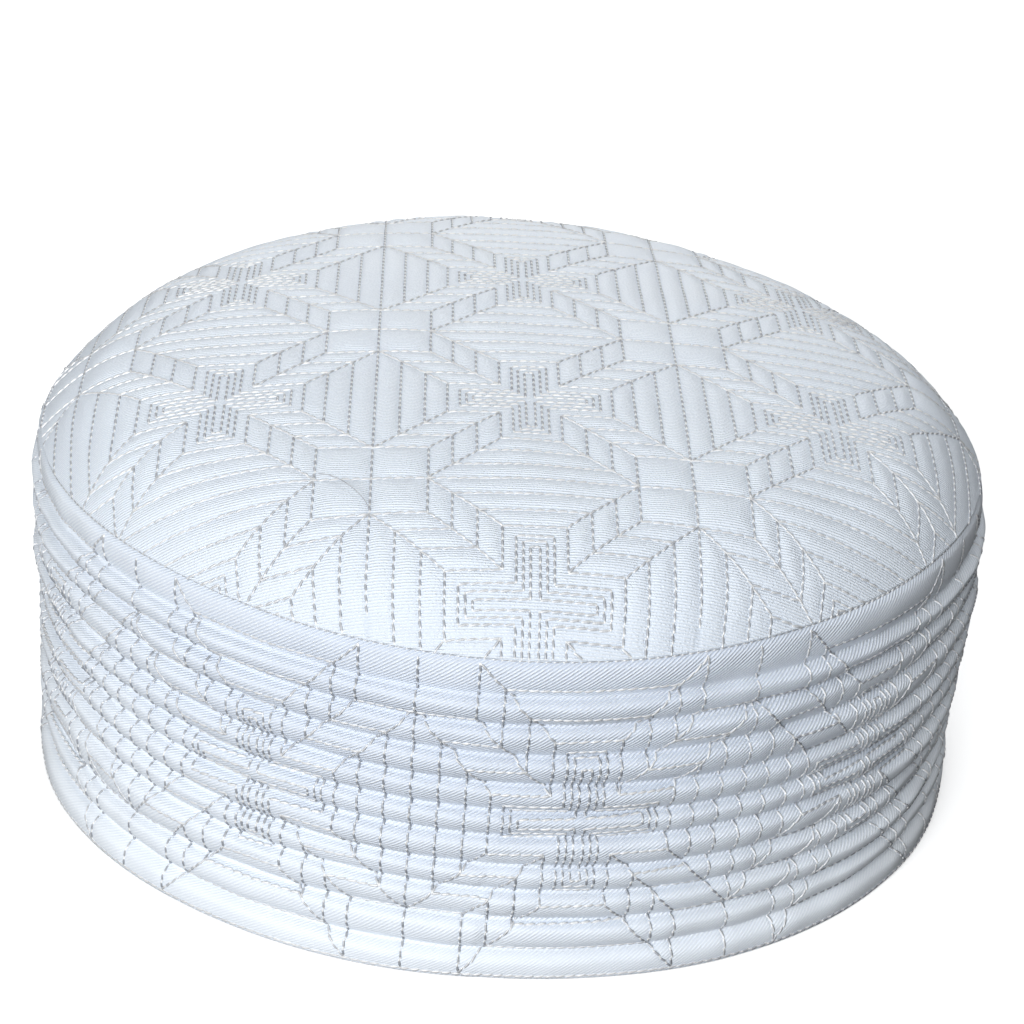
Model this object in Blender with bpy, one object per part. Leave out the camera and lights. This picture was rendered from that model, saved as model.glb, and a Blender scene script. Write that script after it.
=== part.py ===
"""A white quilted kufi: a padded crown that sits on a tall band of stacked padded ribs.

Metres, +Z up. The hem rests on Z = 0, the origin is at the middle of the outline's box
on that plane, and the front of the cap faces -Y.
"""

import math

import bmesh
import bpy

MM = 0.001

# Driving dimensions, in millimetres
HEAD_GIRTH = 570.0  # round the inside at the hem
BAND_WALL = 2.8  # lining side to the valleys between the ribs
RIB_DEPTH = 1.3  # valley to belly
SEAM_HEIGHT = 67.7  # hem to the seam under the crown
SEAM_RADIUS = 93.4
CROWN_WALL = 2.8
CROWN_DOME = 7.6  # the low swell over the whole crown
CROWN_SHOULDER = 12.0  # the steep rise close to the seam
SHOULDER_POWER = 10  # the higher, the closer to the seam the shoulder turns
SEAM_ROLL = 0.4  # how far the crown's edge is tucked in under its own roll
SEAM_ROLL_HEIGHT = 0.9
SEAM_GAP = 0.3  # clearance between the crown's edge and the band's
HEM_TUCK = 0.5  # how far the hem's fold lies inside the lowest rib
INNER_TURN = 0.35  # rounding of the inner corners of hem and seam

SEGMENTS = 64  # steps round the cap
CROWN_RINGS = 12
INNER_STEPS = 7

# Ribs from the seam down: (height, how full the roll is)
RIBS = (
    (6.0, 0.75),
    (6.1, 1.0),
    (6.3, 1.0),
    (6.3, 1.0),
    (6.2, 1.0),
    (5.6, 0.95),
    (6.6, 1.05),
    (5.7, 0.95),
    (6.7, 1.05),
    (6.3, 1.0),
    (5.9, 0.85),
)

# One rib's roll from its upper valley down: (share of its height, share of its depth)
RIB_ROLL = (
    (0.0, 0.0),
    (0.22, 0.72),
    (0.55, 1.0),
    (0.86, 0.8),
)

# The side wall's lean: (share of the height, outward of the straight line from hem to seam)
BAND_LEAN = (
    (0.0, 0.6),
    (0.2, -0.5),
    (0.45, 0.0),
    (0.7, 0.9),
    (0.9, 1.5),
    (1.0, 1.1),
)

# Soft cloth is never quite round. Each row is one slow wave round the cap:
# (waves in a turn, outward at 0 degrees, outward a quarter wave on, up at 0 degrees, up a quarter wave on)
SEAM_WAVES = (
    (2, 0.6, -1.3, -0.8, -0.1),
    (3, 0.1, 0.4, 0.2, -0.5),
    (4, 0.7, 0.1, 0.0, 0.0),
)
HEM_WAVES = (
    (2, 0.8, 0.0, 0.0, 0.0),
    (3, -0.3, -0.7, 0.0, 0.0),
    (4, -0.3, 0.0, 0.0, 0.0),
)
HEM_SHIFT = (0.2, -0.6)  # the hem lies this far to the right and forward of the seam

# Places where handling has pressed the wall in, or left it full where the depth is negative:
# (degrees round from +X, height, depth, reach round in degrees, reach up and down)
DENTS = (
    (173, 77, 2.2, 20, 11),
    (5, 76, 1.3, 14, 11),
    (-5, 38, -1.2, 26, 16),
)

INNER_RADIUS = HEAD_GIRTH / (2 * math.pi)
HEM_RADIUS = INNER_RADIUS + BAND_WALL + RIB_DEPTH - BAND_LEAN[0][1]

COTTON = (0.79, 0.83, 0.88, 1.0)  # bluish white


def clear_scene():
    for thing in list(bpy.data.objects):
        bpy.data.objects.remove(thing, do_unlink=True)


def cloth(name, roughness):
    material = bpy.data.materials.new(name)
    material.use_nodes = True
    shader = material.node_tree.nodes["Principled BSDF"]
    shader.inputs["Base Color"].default_value = COTTON
    shader.inputs["Roughness"].default_value = roughness
    shader.inputs["Metallic"].default_value = 0.0
    material.diffuse_color = COTTON
    return material


def blended(rows, share):
    """Read a two-column table between its rows, turning smoothly at each."""
    for (start, low), (end, high) in zip(rows, rows[1:]):
        if share <= end:
            part = max(0.0, (share - start) / (end - start))
            return low + (high - low) * (0.5 - 0.5 * math.cos(math.pi * part))
    return rows[-1][1]


def belly_radius(height):
    """Radius of the ribs' bellies at this height above the hem."""
    share = height / SEAM_HEIGHT
    straight = HEM_RADIUS + (SEAM_RADIUS - HEM_RADIUS) * share
    return straight + blended(BAND_LEAN, share)


def ribbed_side():
    """The band's outer side from the seam down to the hem, as (radius, height)."""
    scale = SEAM_HEIGHT / sum(height for height, _ in RIBS)
    points = []
    top = SEAM_HEIGHT
    for rib_height, fullness in RIBS:
        for down, out in RIB_ROLL:
            height = top - down * rib_height * scale
            points.append((belly_radius(height) - RIB_DEPTH * (1 - out * fullness), height))
        top -= rib_height * scale
    points.append((belly_radius(0.0) - HEM_TUCK, 0.0))
    return points


def plain_lining_side():
    """The band's inner side from the hem up to the seam."""
    points = [(INNER_RADIUS + INNER_TURN, 0.0)]
    for step in range(INNER_STEPS + 1):
        height = INNER_TURN + (SEAM_HEIGHT - 2 * INNER_TURN) * step / INNER_STEPS
        points.append((belly_radius(height) - RIB_DEPTH - BAND_WALL, height))
    points.append((belly_radius(SEAM_HEIGHT) - RIB_DEPTH - BAND_WALL + INNER_TURN, SEAM_HEIGHT))
    return points


def crown_height(radius):
    share = min(1.0, radius / SEAM_RADIUS)
    swell = CROWN_DOME * (1 - share**2)
    shoulder = CROWN_SHOULDER * (1 - share**SHOULDER_POWER)
    return SEAM_HEIGHT + SEAM_GAP + swell + shoulder


def crown_slope(radius):
    share = radius / SEAM_RADIUS
    steep = 2 * CROWN_DOME * share + SHOULDER_POWER * CROWN_SHOULDER * share ** (SHOULDER_POWER - 1)
    return math.atan(steep / SEAM_RADIUS)


def crown_section():
    """The crown's wall from its outer pole, over the shoulder, round its edge and back inside."""
    base = SEAM_HEIGHT + SEAM_GAP
    radii = [SEAM_RADIUS * math.sin(math.pi / 2 * ring / CROWN_RINGS) for ring in range(CROWN_RINGS)]
    outer = [(radius, crown_height(radius)) for radius in radii]
    outer.append((SEAM_RADIUS, base + SEAM_ROLL_HEIGHT))
    outer.append((SEAM_RADIUS - SEAM_ROLL, base))
    edge = belly_radius(SEAM_HEIGHT) - RIB_DEPTH - BAND_WALL + INNER_TURN
    inner = [(edge, base)]
    for radius in reversed(radii):
        slope = crown_slope(radius)
        inside = (
            radius - CROWN_WALL * math.sin(slope),
            crown_height(radius) - CROWN_WALL * math.cos(slope),
        )
        if inside[1] > base + INNER_TURN:
            inner.append(inside)
    return outer + inner


def turned(name, section, closed, material):
    """Turn a section of (radius, height) points once round the upright axis."""
    shape = bmesh.new()
    corners = [shape.verts.new((radius, 0, height)) for radius, height in section]
    pairs = list(zip(corners, corners[1:]))
    if closed:
        pairs.append((corners[-1], corners[0]))
    edges = [shape.edges.new(pair) for pair in pairs]
    bmesh.ops.spin(
        shape,
        geom=corners + edges,
        axis=(0, 0, 1),
        cent=(0, 0, 0),
        angle=2 * math.pi,
        steps=SEGMENTS,
        use_merge=True,
    )
    bmesh.ops.remove_doubles(shape, verts=shape.verts, dist=0.001)
    bmesh.ops.recalc_face_normals(shape, faces=shape.faces)
    mesh = bpy.data.meshes.new(name)
    shape.to_mesh(mesh)
    shape.free()
    mesh.materials.append(material)
    piece = bpy.data.objects.new(name, mesh)
    bpy.context.collection.objects.link(piece)
    return piece


def wave(rows, angle, column):
    """Add up one pair of columns of a wave table at this angle."""
    total = 0.0
    for row in rows:
        total += row[column] * math.cos(row[0] * angle)
        total += row[column + 1] * math.sin(row[0] * angle)
    return total


def pressed_in(angle, height):
    """How far the dents bring the wall inwards at this place."""
    total = 0.0
    for centre, level, depth, around, along in DENTS:
        turn = math.remainder(angle - math.radians(centre), 2 * math.pi) / math.radians(around)
        total += depth * math.exp(-(turn**2) - ((height - level) / along) ** 2)
    return total


def soften(piece):
    """Let a turned piece go a little out of round, as soft cloth does."""
    for vertex in piece.data.vertices:
        x, y, height = vertex.co
        radius = math.hypot(x, y)
        angle = math.atan2(y, x)
        share = min(1.0, height / SEAM_HEIGHT)
        outward = wave(HEM_WAVES, angle, 1) * (1 - share) + wave(SEAM_WAVES, angle, 1) * share
        outward -= pressed_in(angle, height)
        upward = wave(SEAM_WAVES, angle, 3) * share * min(1.0, radius / SEAM_RADIUS) ** 2
        stretch = 1 + outward / SEAM_RADIUS
        vertex.co = (
            x * stretch + HEM_SHIFT[0] * (1 - share),
            y * stretch + HEM_SHIFT[1] * (1 - share),
            height + upward,
        )


def centre_and_scale(pieces):
    """Put the middle of the whole outline over the origin, and turn millimetres into metres."""
    xs = [vertex.co.x for piece in pieces for vertex in piece.data.vertices]
    ys = [vertex.co.y for piece in pieces for vertex in piece.data.vertices]
    middle_x = (min(xs) + max(xs)) / 2
    middle_y = (min(ys) + max(ys)) / 2
    for piece in pieces:
        for vertex in piece.data.vertices:
            x, y, height = vertex.co
            vertex.co = ((x - middle_x) * MM, (y - middle_y) * MM, height * MM)
        piece.data.shade_smooth()
        piece.data.set_sharp_from_angle(angle=math.radians(50))


def build():
    clear_scene()
    band = turned("band", ribbed_side() + plain_lining_side(), True, cloth("band_twill", 0.5))
    crown = turned("crown", crown_section(), False, cloth("crown_cloth", 0.55))
    for piece in (band, crown):
        soften(piece)
    centre_and_scale((band, crown))


build()
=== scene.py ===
"""The looks of a white quilted kufi: a padded crown and a ribbed band, both sewn with a lattice of
lustrous thread, standing on a pale floor.

Sizes are in millimetres unless a name says otherwise, and every mesh is made in metres.
"""

import math

import bpy
import numpy as np
from mathutils import Matrix, Vector


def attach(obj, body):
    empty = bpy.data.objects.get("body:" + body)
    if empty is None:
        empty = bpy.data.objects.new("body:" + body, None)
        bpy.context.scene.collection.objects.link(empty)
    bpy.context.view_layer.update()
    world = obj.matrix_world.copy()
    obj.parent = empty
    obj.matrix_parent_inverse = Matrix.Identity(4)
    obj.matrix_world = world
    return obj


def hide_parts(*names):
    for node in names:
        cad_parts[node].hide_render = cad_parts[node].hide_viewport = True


MM = 0.001

# The cap's form, as its solids have it
HEAD_GIRTH = 570.0
BAND_WALL = 2.8
RIB_DEPTH = 1.3
SEAM_HEIGHT = 67.7
SEAM_RADIUS = 93.4
CROWN_WALL = 2.8
CROWN_DOME = 7.6
CROWN_SHOULDER = 12.0
SHOULDER_POWER = 10
SEAM_GAP = 0.3
HEM_TUCK = 0.5
INNER_TURN = 0.35
CROWN_BASE = SEAM_HEIGHT + SEAM_GAP

# Ribs from the seam down: (height, how full the roll is)
RIBS = (
    (6.0, 0.75), (6.1, 1.0), (6.3, 1.0), (6.3, 1.0), (6.2, 1.0), (5.6, 0.95),
    (6.6, 1.05), (5.7, 0.95), (6.7, 1.05), (6.3, 1.0), (5.9, 0.85),
)
RIB_BELLY = 0.22  # share of a rib's height, from its upper valley, where it stands out most
RIB_PINCH = 1.1  # how much deeper the sewn valleys go than the solids'
RIB_ROUNDNESS = 2.0  # of the part above the belly: 2 is a plain arch, more is fuller
RIB_UNDERSIDE = 2.4  # the same for the part below it
FIRST_RIB_START = 0.07  # the top rib starts part of the way out, flush with the crown's edge
LAST_RIB_END = 0.58  # the lowest rib is cut off by the hem before it turns right in
PLUMPNESS = 0.09  # how much fuller or flatter a rib gets along its length, as a share
PLUMP_REACH = 45.0
RIBS_APART = 37.0  # puts each rib in its own part of that unevenness

# Heights of the sewn valleys round the front, from the top one down, at these turns to the right
VALLEY_TURNS = (-70, -55, -40, -25, -10, 5, 20, 35, 50, 65)
VALLEYS = (
    (60.2, 60.6, 60.5, 60.4, 60.2, 60.4, 60.4, 60.0, 59.1, 58.0),
    (55.4, 55.6, 55.2, 54.8, 54.2, 54.4, 54.6, 54.4, 53.6, 53.1),
    (50.3, 49.9, 49.5, 48.7, 48.1, 47.9, 47.9, 47.5, 46.8, 47.4),
    (43.4, 43.4, 43.3, 42.6, 42.1, 41.8, 41.4, 40.4, 39.4, 40.2),
    (38.3, 38.0, 37.3, 36.5, 36.0, 35.8, 35.2, 34.1, 33.2, 34.0),
    (33.2, 32.6, 32.0, 31.0, 30.5, 30.3, 29.8, 28.9, 27.9, 27.7),
    (27.1, 26.4, 25.5, 24.6, 24.1, 23.8, 23.2, 22.1, 21.3, 21.8),
    (20.5, 20.3, 19.9, 19.1, 18.6, 18.3, 17.4, 16.4, 15.6, 15.2),
    (12.0, 11.6, 12.0, 12.2, 12.0, 12.0, 11.3, 10.6, 10.0, 10.5),
    (6.9, 6.3, 5.9, 5.4, 5.2, 5.4, 5.5, 5.4, 5.5, 5.7),
)
BACK_TURNS = (130, 180, 230)  # where a valley has its plain height, behind
VALLEY_WANDER = 0.28  # how far the valleys stray up and down round the back
WANDER_WAVES = (2, 3, 5, 7, 11)  # waves in a turn
VALLEY_SAMPLES = 720  # places round the cap where a valley is smoothed
VALLEY_SMOOTHNESS = 14.0  # waves in a turn past which little of it is left

# The side wall's lean: (share of the height, outward of the straight line from hem to seam)
BAND_LEAN = ((0.0, 0.6), (0.2, -0.5), (0.45, 0.0), (0.7, 0.9), (0.9, 1.5), (1.0, 1.1))

# Slow waves round the cap: (waves in a turn, outward cosine and sine, upward cosine and sine)
SEAM_WAVES = ((2, 0.6, -1.3, -0.8, -0.1), (3, 0.1, 0.4, 0.2, -0.5), (4, 0.7, 0.1, 0.0, 0.0))
HEM_WAVES = ((2, 0.8, 0.0, 0.0, 0.0), (3, -0.3, -0.7, 0.0, 0.0), (4, -0.3, 0.0, 0.0, 0.0))
HEM_SHIFT = (0.2, -0.6)

# Pressed-in places: (degrees round from +X, height, depth, reach round in degrees, reach up and down)
DENTS = ((173, 77, 2.2, 20, 11), (5, 76, 1.3, 14, 11), (-5, 38, -1.2, 26, 16))

# From the seam's own centre to the middle of the outline's box, which is the origin
MIDDLE = np.array([0.285, -0.335, 0.0])

INNER_RADIUS = HEAD_GIRTH / (2 * math.pi)
HEM_RADIUS = INNER_RADIUS + BAND_WALL + RIB_DEPTH - BAND_LEAN[0][1]

# The crown's edge past its dome: (radius inside the seam's, height above the crown's base)
CROWN_EDGE = ((0.1, 0.34), (-0.02, 0.14), (0.0, -0.06), (0.1, -0.19), (0.3, -0.24), (0.8, -0.25))
DOME_END = SEAM_RADIUS - 0.32
LINING_RADIUS = SEAM_RADIUS - 1.4
EDGE_STITCHED = 3  # the stitched lines run on to this corner of the edge
EDGE_LIFT = 3  # how far the thread there leans outwards

# The band's edges: how far in from its outside, or out from its inside, their rows of corners lie
HEM_SET_BACK = 0.7
UNDERSIDE_OUTER = 0.6
UNDERSIDE_INNER = 0.9
TOP_SHELF = 1.6

# Fineness of the meshes
CROWN_CELLS = 280  # cells across the crown
LINING_SHARE = 4  # the inside has one cell for this many outside
BAND_COLUMNS = 720
ROWS_PER_RIB = 11
ROW_CROWDING = 0.5  # how much closer the rows lie in the valleys than on average
LINING_ROWS = 6

# The embroidered lattice, in shares of its period, in one quarter of a cell: a cross stands at
# (0, 0), a striped diamond at (0, 0.5) and (0.5, 0), and a quartered square at (0.5, 0.5).
CROSS_LINES = (0.0145, 0.036, 0.0575)  # half widths of the three close outlines of a cross
CROSS_EDGE = 0.098
CROSS_ARM = 0.17  # how far an outline's arm runs past its corner
CHEVRONS = (0.174, 0.25, 0.325)  # corners of the chevrons along the diagonal
DIAMOND_REACH = 0.329
DIAMOND_STRIPES = (0.08, 0.16)

CROWN_LATTICE = ((-2, 0), (2, 3))  # the first and last cell of the crown's lattice, and the band's
BAND_LATTICE = ((-6, -1), (5, 1))
CROWN_PERIOD = 58.3
CROWN_LATTICE_TURN = math.radians(2.57)
CROWN_CROSS = np.array([6.12, -87.36])  # the cross nearest the front of the crown
RIM_START = 88.0  # radius past which the cloth turns down and the lattice looks closer from above
RIM_TURN = 0.6  # how softly that begins
RIM_STRETCH = 0.45  # how much more cloth lies past it for each millimetre of radius
PAST_RIM = 10.0  # the crown's lattice is laid out this far past its rim
BAND_CROSS_TURN = math.radians(10.2)  # the cross on the band nearest the front, towards +X
BAND_CROSS_HEIGHT = 34.0
BAND_PERIOD_TURN = math.radians(37.6)
BAND_PERIOD_HEIGHT = 66.6
BAND_RADIUS = 94.3  # where the band's round measure is taken
BAND_PERIOD = np.array([BAND_PERIOD_TURN * BAND_RADIUS, BAND_PERIOD_HEIGHT])
BAND_LATTICE_LEAN = 0.022  # sideways for each millimetre of height
BAND_LATTICE_MARGIN = 0.5  # kept free of it above the hem and below the seam

STITCH_PITCH = 1.9
STITCH_SHARE = 0.98  # the part of the pitch where the thread lies on top of the cloth
SHORTEST_ROW = 0.4  # of the pitch: a shorter row isn't sewn
SHORTEST_STITCH = 0.2  # the same for a stitch
CHORD_SHARE = 0.25  # how far a stitch's middle keeps to the straight line between its ends
THREAD_RADIUS = 0.25
SAMPLES_ALONG = 64  # places along one line of the lattice
SAMPLES_AROUND = 2000  # places along a row that runs round the cap

# Rows round the cap: (piece, height, pitch, radius of the thread, painted light)
ROUND_ROWS = (
    ("seam_stitching", SEAM_HEIGHT, 1.5, 0.28, 0.25),
    ("hem_stitching", 0.7, 1.5, 0.13, 0.5),
)

# The end of thread that was left long on the crown: (x, y, height over the crown's puffs)
LOOSE_THREAD = (
    (-34.4, -60.8, 0.5), (-32.3, -61.4, 0.5), (-30.2, -62.9, 0.7), (-28.2, -64.8, 0.8),
    (-26.3, -66.9, 0.7), (-25.0, -68.4, 0.3), (-24.0, -70.0, 0.0),
)
LOOSE_THREAD_RADIUS = 0.09
# How much painted light the loose thread gets: it is mostly in painted shade
LOOSE_THREAD_PAINTED_LIGHT = 0.15

PUFF_HEIGHT = 0.8  # of the quilting on the crown, far from any line
PUFF_REACH = 1.5
RIM_PADDING = 0.3  # share of that height left at the rim
CALM_RIM = (0.5, 12.5)  # how far in from the rim it starts to rise, and has its whole height
LINE_WIDTH = 0.45  # of the rounded bottom of a stitched line
BAND_PUFF_HEIGHT = 0.14
BAND_PUFF_REACH = 0.7
CALM_EDGE = (0.0, 2.5)  # the same at the band's hem and seam
CREASE_DEPTH = 0.1  # slow unevenness of the padding
CREASE_REACH = 26.0
BAND_CREASE_DEPTH = 0.06
BAND_CREASE_REACH = 12.0

# How much painted light the thread gets, from 0 for painted shade to 1 for a painted highlight: (middle, how
# far its heading takes it up or down from there)
CROWN_PAINTED_LIGHT = np.array([0.45, 0.35])
FRONT_PAINTED_LIGHT = np.array([0.32, 0.14])
BAND_PAINTED_LIGHT = np.array([0.35, 0.35])
CROWN_PAINTED_HIGHLIGHT_TURN = math.radians(8)  # from straight across towards the diagonal with the painted highlight
BAND_PAINTED_HIGHLIGHT_TURN = math.radians(65)  # the same on the right of the band; none on its left
FRONT_REACH = (25.0, 80.0)  # forward of the middle: where the front's painted light begins, and is whole
RIGHT_REACH = (0.2, 0.6)  # the same for the right of the band, in shares of the radius
# Painted shade: the share by which the thread is drawn duller on the right of the band
RIGHT_PAINTED_SHADE = 0.5
SKY_PAINTED_HIGHLIGHT = 0.2  # painted highlight added where the thread faces up

CROWN_COTTON = (0.86, 0.905, 0.945, 1.0)
BAND_COTTON = (0.87, 0.915, 0.95, 1.0)
MOTTLE_TINT = (0.93, 0.94, 0.965, 1.0)
# Painted shade in the pressed-in grooves along the stitched lines
NEEDLE_PAINTED_SHADE = (0.94, 0.95, 0.965, 1.0)
# The thread's colour under painted shade, and under a painted highlight
THREAD_IN_PAINTED_SHADE = (0.3, 0.32, 0.355, 1.0)
THREAD_IN_PAINTED_HIGHLIGHT = (0.88, 0.885, 0.88, 1.0)
FLOOR = (0.9, 0.91, 0.92, 1.0)
FLOOR_GRAIN_TINT = (0.99, 0.99, 0.99, 1.0)
WHITE = (1.0, 1.0, 1.0, 1.0)
CROSSINGS_PER_MM = 2.4
CROSSING_EDGES = (0.35, 0.65)  # the part of the noise where a raised line goes from under to over
GROOVE = (0.05, 0.5)  # millimetres from a stitched line, where the cloth pulled in starts and ends, and its painted shade with it
STITCH_END = (0.22, 0.7)  # where a stitch's end begins and is whole: squared share of its half length
HEM_CRISPNESS = 0.45  # of the weave, which is crisp all over at the front of the crown
FAR_CRISPNESS = 0.45
FADE_HEIGHT = 0.045  # metres above the hem where the weave gets crisp
FADE_START = -0.09  # metres from the middle to the front, where it starts to fade towards the back
MOTTLES_PER_MM = 0.06
FIBRES_PER_MM = 2.6
FIBRE_HEIGHT = 0.08
NEEDLE_DEPTH = 0.1
END_PAINTED_LIGHT = (0.9, 0.4)  # painted light of a stitch's ends: where the rest is in painted shade, and where it has a painted highlight
# Random spread of the thread's painted light
PAINTED_LIGHT_STRAY = 0.3
STRAYS_PER_METRE = 500.0
PLIES_PER_METRE = 900.0
PLY_HEIGHT = 0.04


# Shape of the cap


def ramp(value, start, end):
    """How far a value is on its way from start to end, from 0 to 1."""
    return np.clip((value - start) / (end - start), 0.0, 1.0)


def blended(rows, share):
    """Read a two-column table between its rows, turning smoothly at each."""
    value = float(rows[0][1])
    for (start, low), (end, high) in zip(rows, rows[1:]):
        value = value + (high - low) * (0.5 - 0.5 * np.cos(np.pi * ramp(share, start, end)))
    return value


def belly_radius(height):
    share = height / SEAM_HEIGHT
    return HEM_RADIUS + (SEAM_RADIUS - HEM_RADIUS) * share + blended(BAND_LEAN, share)


def crown_height(radius):
    share = np.clip(radius / SEAM_RADIUS, 0.0, 1.0)
    return CROWN_BASE + CROWN_DOME * (1 - share**2) + CROWN_SHOULDER * (1 - share**SHOULDER_POWER)


def crown_slope(radius):
    share = radius / SEAM_RADIUS
    steep = 2 * CROWN_DOME * share + SHOULDER_POWER * CROWN_SHOULDER * share ** (SHOULDER_POWER - 1)
    return np.arctan(steep / SEAM_RADIUS)


def wrapped(angle):
    """The same angle, between minus and plus half a turn."""
    return np.angle(np.exp(1j * angle))


def wave(rows, angle, column):
    total = np.zeros_like(angle)
    for row in rows:
        total += row[column] * np.cos(row[0] * angle) + row[column + 1] * np.sin(row[0] * angle)
    return total


def pressed_in(angle, height):
    total = np.zeros_like(angle)
    for centre, level, depth, around, along in DENTS:
        turn = wrapped(angle - math.radians(centre)) / math.radians(around)
        total += depth * np.exp(-(turn**2) - ((height - level) / along) ** 2)
    return total


def softened(points):
    """Let turned points go a little out of round, as the solids do."""
    x, y, height = points[..., 0], points[..., 1], points[..., 2]
    angle = np.arctan2(y, x)
    share = np.clip(height / SEAM_HEIGHT, 0.0, 1.0)
    outward = wave(HEM_WAVES, angle, 1) * (1 - share) + wave(SEAM_WAVES, angle, 1) * share
    stretch = 1 + (outward - pressed_in(angle, height)) / SEAM_RADIUS
    near_rim = np.minimum(1.0, np.hypot(x, y) / SEAM_RADIUS) ** 2
    upward = wave(SEAM_WAVES, angle, 3) * share * near_rim
    shift = np.multiply.outer(HEM_SHIFT, 1 - share)
    return np.stack([x * stretch + shift[0], y * stretch + shift[1], height + upward], axis=-1)


def uneven(first, second, reach, seed, waves=28):
    """A smooth random field from -1 to 1 or so, made of plane waves about reach long."""
    dice = np.random.default_rng(seed)
    heading = dice.uniform(0, 2 * np.pi, waves)
    pitch = reach * dice.uniform(0.7, 1.6, waves)
    start = dice.uniform(0, 2 * np.pi, waves)
    total = np.zeros(np.broadcast_shapes(np.shape(first), np.shape(second)))
    for turn, length, phase in zip(heading, pitch, start):
        travelled = first * math.cos(turn) + second * math.sin(turn)
        total += np.sin(2 * np.pi * travelled / length + phase)
    return total / math.sqrt(waves / 2)


def turned_rows(radius, height, angle):
    """Points of a turned surface. Given as columns and a row, they make one row for each radius."""
    radius, height, angle = np.broadcast_arrays(radius, height, angle)
    return np.stack([radius * np.cos(angle), radius * np.sin(angle), height], axis=-1)


def summed(steps):
    """The length travelled at the start and after each step."""
    return np.concatenate([[0.0], np.cumsum(steps)])


def unit(directions):
    return directions / np.linalg.norm(directions, axis=-1, keepdims=True)


# Embroidered lattice


def cross_lines():
    lines = []
    for half in (*CROSS_LINES, CROSS_EDGE):
        end = half + CROSS_ARM
        corners = ((0, end), (half, end), (half, half), (end, half), (end, 0))
        lines += zip(corners, corners[1:])
    return lines


def chevron_lines():
    run = 0.5 - DIAMOND_REACH
    lines = [((CROSS_EDGE, CROSS_EDGE), (CHEVRONS[-1], CHEVRONS[-1]))]
    for corner in CHEVRONS:
        lines.append(((corner, corner), (corner, corner + run)))
        lines.append(((corner, corner), (corner + run, corner)))
    return lines


def diamond_lines():
    foot = CROSS_EDGE + 0.5 - DIAMOND_REACH
    lines = [((CROSS_EDGE, foot), (DIAMOND_REACH, 0.5)), ((0, 0.5), (0.5, 0.5))]
    for step in DIAMOND_STRIPES:
        lines.append(((0, 0.5 - step), (DIAMOND_REACH - step, 0.5 - step)))
    turned = [tuple((b, a) for a, b in line) for line in lines]
    return lines + turned


def mirrored(lines, low, high):
    """Copies of the quarter cell's lines in every cell from low to high, each line once."""
    kept = {}
    quarter = np.array(lines, float)
    for column in range(low[0], high[0] + 1):
        for row in range(low[1], high[1] + 1):
            for side in ((1, 1), (-1, 1), (1, -1), (-1, -1)):
                for line in quarter * side + (column, row):
                    ends = sorted(tuple(np.round(end, 5) + 0.0) for end in line)
                    kept[tuple(ends)] = line
    return np.array(list(kept.values()))


def line_names(lines):
    """The same number for lines that lie on one straight line."""
    along = unit(lines[:, 1] - lines[:, 0])
    flip = (along[:, 0] < -1e-6) | ((np.abs(along[:, 0]) < 1e-6) & (along[:, 1] < 0))
    along[flip] *= -1
    offset = along[:, 0] * lines[:, 0, 1] - along[:, 1] * lines[:, 0, 0]
    key = np.round(np.column_stack([along, offset]), 4) + 0.0
    return np.unique(key, axis=0, return_inverse=True)[1].reshape(-1)


def line_distances(shares, period):
    """How far each place of the lattice is from its nearest line, and from the next one."""
    folded = np.abs(shares - np.round(shares))
    every = mirrored(cross_lines() + chevron_lines() + diamond_lines(), (0, 0), (1, 1))
    margin = 0.12
    near = (every.min(axis=1) < 0.5 + margin) & (every.max(axis=1) > -margin)
    every = every[near.all(axis=1)]
    names = line_names(every)
    start = every[:, 0] * period
    along = (every[:, 1] - every[:, 0]) * period
    long_squared = (along**2).sum(axis=1)
    nearest = np.empty(len(folded))
    following = np.empty(len(folded))
    block_size = 4096
    for first in range(0, len(folded), block_size):
        block = slice(first, first + block_size)
        offset = (folded[block] * period)[:, None, :] - start
        part = np.clip((offset * along).sum(axis=-1) / long_squared, 0.0, 1.0)
        away = np.linalg.norm(offset - part[..., None] * along, axis=-1)
        best = away.argmin(axis=1)
        nearest[block] = away[np.arange(len(away)), best]
        away[names[None, :] == names[best][:, None]] = np.inf
        following[block] = away.min(axis=1)
    return tuple(np.hypot(away, LINE_WIDTH) - LINE_WIDTH for away in (nearest, following))


def rim_stretched(radius):
    """The radius in the flat lattice of a place on the crown: more cloth lies where it turns down."""
    return radius + RIM_STRETCH * RIM_TURN * np.log1p(np.exp((radius - RIM_START) / RIM_TURN))


def rim_relaxed(stretched):
    """The way back from the flat lattice to the radius on the crown."""
    radii = np.linspace(0.0, SEAM_RADIUS + 2 * PAST_RIM, 3000)
    return np.interp(stretched, rim_stretched(radii), radii)


def swung(places, turn):
    """Flat places turned round the origin."""
    cosine, sine = math.cos(turn), math.sin(turn)
    x, y = places[..., 0], places[..., 1]
    return np.stack([x * cosine - y * sine, x * sine + y * cosine], axis=-1)


def crown_shares(points, radius, reach):
    """Lattice coordinates of places on the crown, from their radius before softening and along the cloth."""
    stretch = rim_stretched(reach) / np.maximum(radius, 1e-6)
    return swung(points[..., :2] * stretch[..., None] - CROWN_CROSS, -CROWN_LATTICE_TURN) / CROWN_PERIOD


def crown_place(shares):
    """The place in the flat lattice, seen from above, of lattice coordinates."""
    return swung(shares * CROWN_PERIOD, CROWN_LATTICE_TURN) + CROWN_CROSS


def band_lean(height):
    """How far round the lattice's upright lines have strayed at this height."""
    return BAND_LATTICE_LEAN * (height - BAND_CROSS_HEIGHT) / BAND_RADIUS


def band_shares(azimuth, height):
    """Lattice coordinates on the band. The azimuth is 0 at the front and grows towards +X."""
    across = (azimuth - band_lean(height) - BAND_CROSS_TURN) / BAND_PERIOD_TURN
    return np.stack([across, (height - BAND_CROSS_HEIGHT) / BAND_PERIOD_HEIGHT], axis=-1)


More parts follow.
